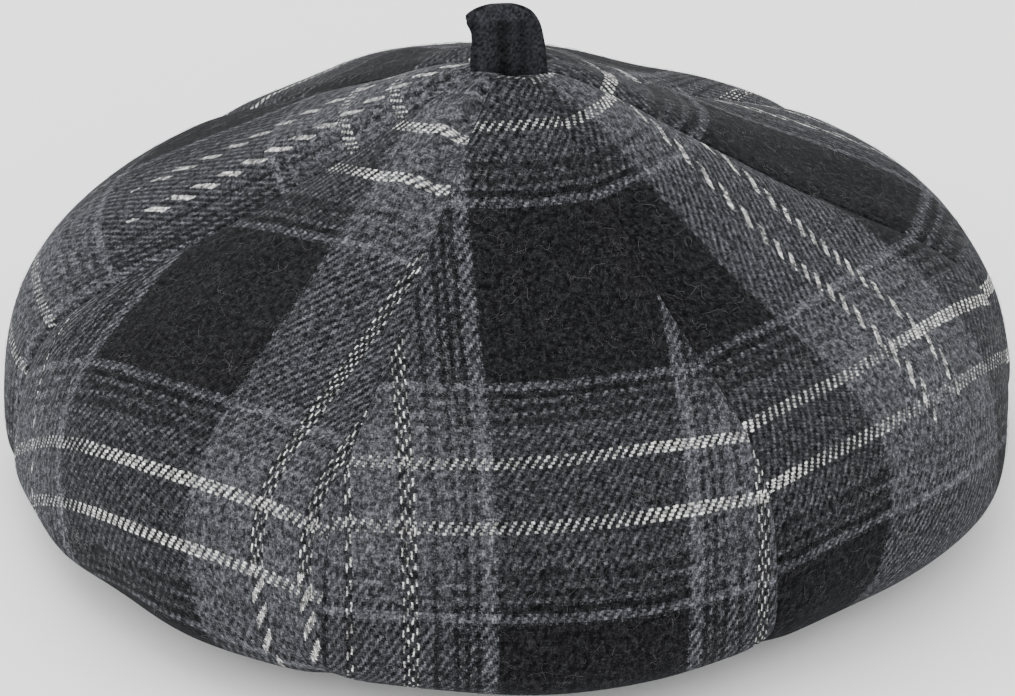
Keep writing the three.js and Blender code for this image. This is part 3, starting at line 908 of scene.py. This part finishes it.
# Painted shade at the sides of the front leg, and the level of the colour where no shade is
# painted.
side_shade, stalk_painted_lit_level = 0.45, 1.12
shaded_sides = ((-1, 7.4, 2.0), (1, 8.0, 1.8))
stalk_end_pitch, stalk_pick_pitch = 1.5, 1.9
twill_sway, twill_tone, clump_tone = 1.2, 0.16, 0.45
stalk_leg = stalk_height - stalk_bend
stalk_strip = 2 * stalk_leg + math.pi * stalk_bend
travelled = np.linspace(0, stalk_strip, stalk_rows + 1)
bend_angle = np.clip((travelled - stalk_leg) / stalk_bend, 0, np.pi)
stalk_deep = stalk_bend * np.cos(bend_angle)
up_leg = np.minimum(np.minimum(travelled, stalk_strip - travelled), stalk_leg)
stalk_up = up_leg + stalk_bend * np.sin(bend_angle)
up_share, left_share, right_share = stalk_outline.T
left_edge = np.interp(stalk_up / stalk_height, up_share, left_share) * stalk_width
right_edge = np.interp(stalk_up / stalk_height, up_share, right_share) * stalk_width
stalk_across = np.linspace(0, 1, stalk_columns + 1)[None, :]
stalk_closed = 1 - stalk_sides_closed * np.abs(2 * stalk_across - 1) ** 4
stalk_x = (left_edge + right_edge)[:, None] * stalk_across - left_edge[:, None]
front_leg = smooth((travelled - front_from * stalk_strip) / front_fade)[:, None]
stalk_crease = front_leg * sum(
    depth * bell(stalk_x - middle, width) for middle, width, depth in stalk_creases
)
stalk_ridge = bell(travelled - ridge_place * stalk_strip, ridge_width)[:, None]
stalk_ridge = stalk_ridge * bell(stalk_x - ridge_middle, ridge_half)
stalk_crease = stalk_crease - ridge_rise * stalk_ridge
# Painted shade and painted highlight, kept in the fold_shade attribute that scales the stalk's
# colour: dark in the creases and at the sides of the front leg, light on the ridge of the fold.
painted_crease_shade = sum(dark * bell(stalk_x - middle, width) for middle, width, dark in stalk_painted_fold_shade)
stalk_sides = sum(smooth((side * stalk_x - start) / fade) for side, start, fade in shaded_sides)
stalk_shade = stalk_painted_lit_level - front_leg * (painted_crease_shade + side_shade * stalk_sides)
# Painted highlight: the stalk's colour is made lighter along the ridge of the fold near its top.
stalk_shade = stalk_shade + ridge_painted_highlight * stalk_ridge
stalk_outer = np.stack((
    stalk_x,
    stalk_deep[:, None] * stalk_closed - stalk_set_forward + stalk_crease,
    crown_height - stalk_foot_sunk + stalk_up[:, None] * stalk_stretch + 0 * stalk_across,
), axis=-1)
stalk_outer = (stalk_outer + crown_centre) * mm
stalk_places = np.stack((stalk_x, travelled[:, None] + 0 * stalk_across), axis=-1)
stalk_piece = cloth_mesh("stalk_cloth", stalk_outer, stalk_thickness, stalk_places)
fold_shade = stalk_piece.data.attributes.new("fold_shade", "FLOAT", "POINT")
fold_shade.data.foreach_set("value", np.tile(stalk_shade.ravel(), 2).astype(np.float32))
stalk_wool = bpy.data.materials.new("stalk_wool")
stalk_wool.use_nodes = True
stalk_tree = stalk_wool.node_tree
stalk_shader = stalk_tree.nodes["Principled BSDF"]
stalk_uv = stalk_tree.nodes.new("ShaderNodeUVMap")
stalk_uv.uv_map = "cloth"
stalk_place = stalk_uv.outputs["UV"]
stalk_split = stalk_tree.nodes.new("ShaderNodeSeparateXYZ")
stalk_tree.links.new(stalk_place, stalk_split.inputs["Vector"])
stalk_nap = noise(stalk_tree, stalk_place, 1.3, 4.0, 0.75)
stalk_clumps = noise(stalk_tree, stalk_place, 0.5, 3.0, 0.6)
stalk_diagonal = plus(
    stalk_tree,
    math_node(stalk_tree, "DIVIDE", stalk_split.outputs["X"], stalk_end_pitch),
    math_node(stalk_tree, "DIVIDE", stalk_split.outputs["Y"], stalk_pick_pitch),
)
stalk_diagonal = plus(stalk_tree, stalk_diagonal, times(stalk_tree, stalk_clumps, twill_sway))
stalk_twill = math_node(stalk_tree, "PINGPONG", stalk_diagonal, 0.5)
stalk_rough = plus(stalk_tree, stalk_nap, times(stalk_tree, stalk_clumps, clump_tone))
stalk_tone = plus(stalk_tree, times(stalk_tree, stalk_twill, twill_tone), stalk_rough)
stalk_ramp = stalk_tree.nodes.new("ShaderNodeValToRGB")
stalk_ramp.color_ramp.elements[0].position = 0.6
stalk_ramp.color_ramp.elements[0].color = (0.003, 0.003, 0.0034, 1)
stalk_ramp.color_ramp.elements[1].position = 1.0
stalk_ramp.color_ramp.elements[1].color = (0.036, 0.037, 0.043, 1)
stalk_tree.links.new(stalk_tone, stalk_ramp.inputs["Fac"])
stalk_shaded = stalk_tree.nodes.new("ShaderNodeVectorMath")
stalk_shaded.operation = "SCALE"
stalk_tree.links.new(stalk_ramp.outputs["Color"], stalk_shaded.inputs[0])
# The painted shade and highlight of fold_shade scale the wool's colour.
stalk_tree.links.new(named_value(stalk_tree, "fold_shade"), stalk_shaded.inputs["Scale"])
stalk_tree.links.new(stalk_shaded.outputs[0], stalk_shader.inputs["Base Color"])
stalk_bump = stalk_tree.nodes.new("ShaderNodeBump")
stalk_bump.inputs["Strength"].default_value = 0.7
stalk_bump.inputs["Distance"].default_value = 0.0003
stalk_tree.links.new(stalk_tone, stalk_bump.inputs["Height"])
stalk_tree.links.new(stalk_bump.outputs["Normal"], stalk_shader.inputs["Normal"])
stalk_shader.inputs["Roughness"].default_value = 0.95
stalk_shader.inputs["Specular IOR Level"].default_value = 0.03
stalk_shader.inputs["Sheen Weight"].default_value = 0.03
stalk_piece.data.materials.append(stalk_wool)
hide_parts("stalk")
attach(stalk_piece, "root")
